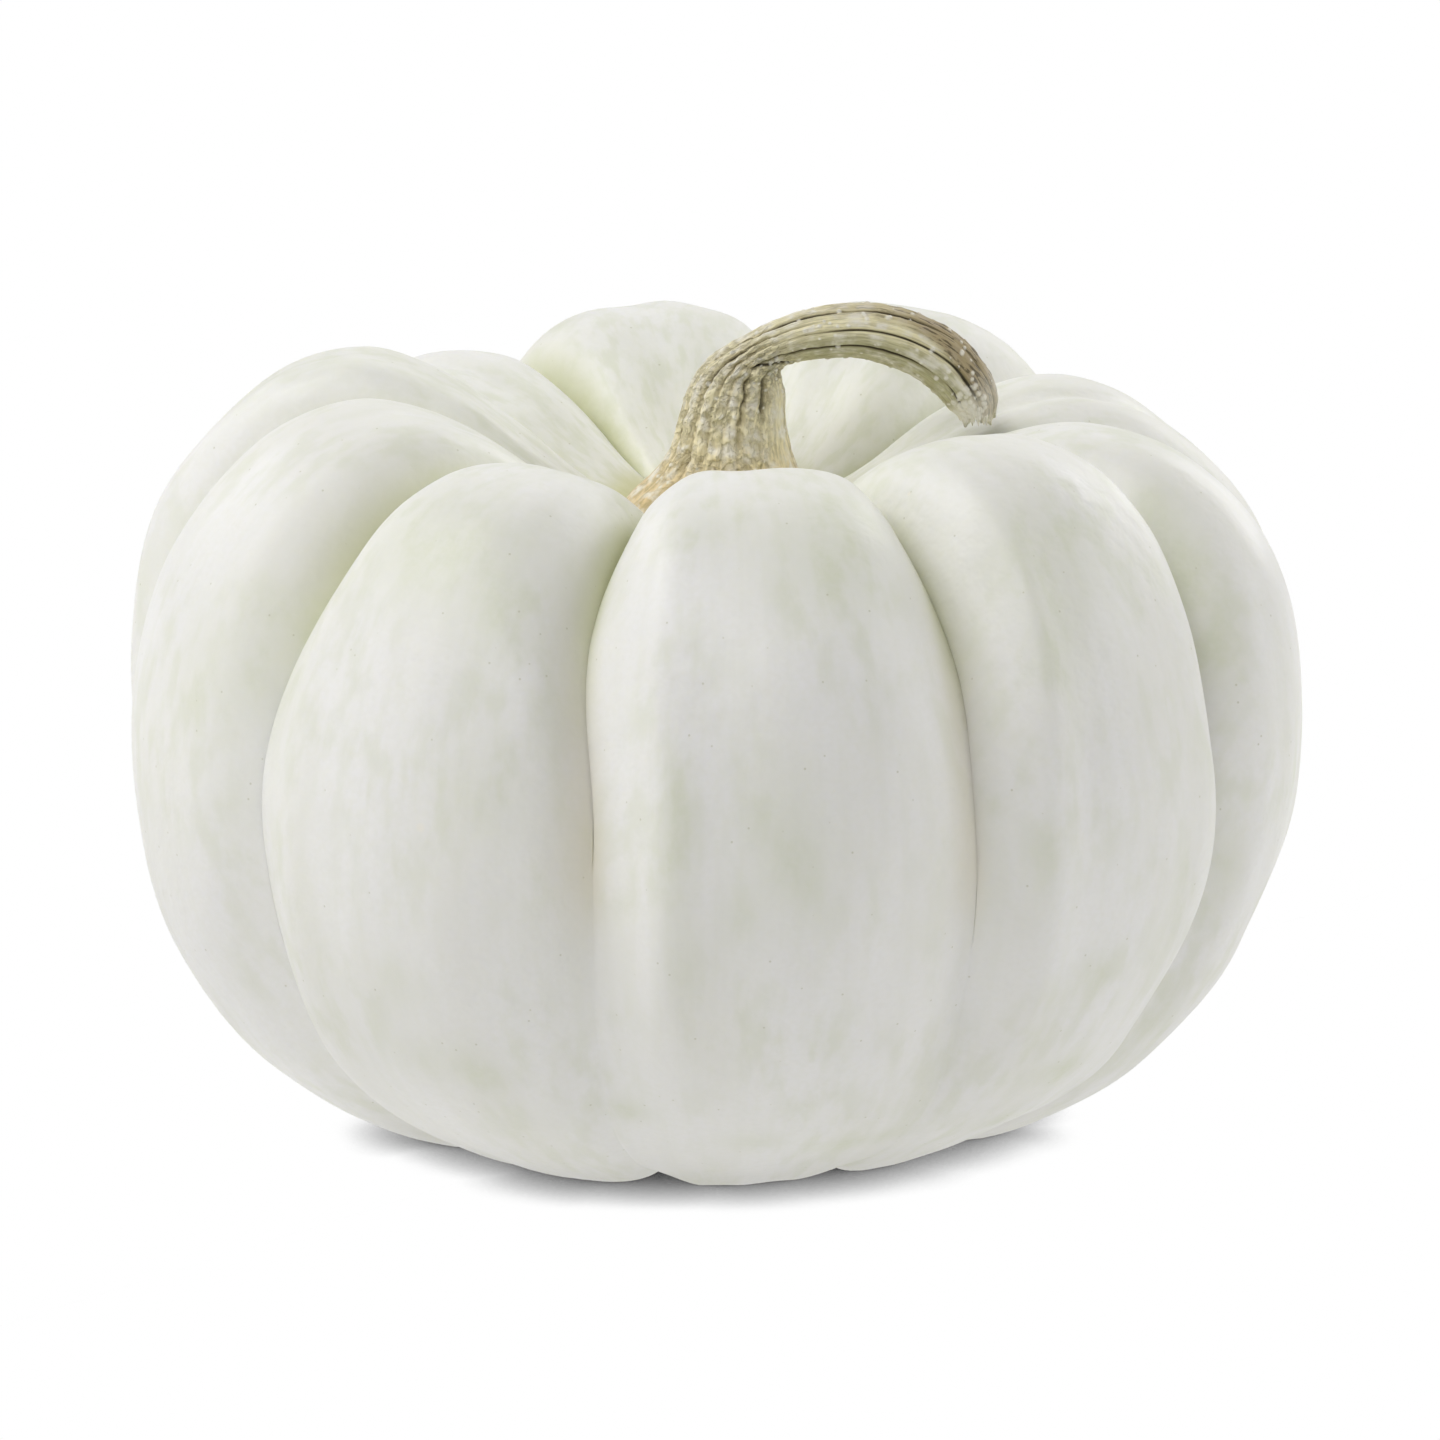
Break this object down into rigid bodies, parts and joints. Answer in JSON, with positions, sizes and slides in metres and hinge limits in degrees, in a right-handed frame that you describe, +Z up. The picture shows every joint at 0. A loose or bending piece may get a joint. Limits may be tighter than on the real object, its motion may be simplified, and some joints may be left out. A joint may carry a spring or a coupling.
{
  "type": "pumpkin",
  "caption": "Small white pumpkin with deep uneven ribs round a hollow crown and a dried, ridged stalk that folds over to one side; stands on the flats under its ribs.",
  "frame": {"origin": "on the surface it stands on, under the middle of the box round fruit and stalk", "axes": "+Z up, -Y towards the front rib that the picture shows, +X the side that the stalk folds over to"},
  "size_m": [0.0893, 0.0894, 0.0633],
  "materials": {
    "waxy_skin": "satin",
    "dried_stalk": "matte"
  },
  "bodies": {
    "root": {"fruit": "waxy_skin", "stem": "dried_stalk"}
  },
  "joints": []
}
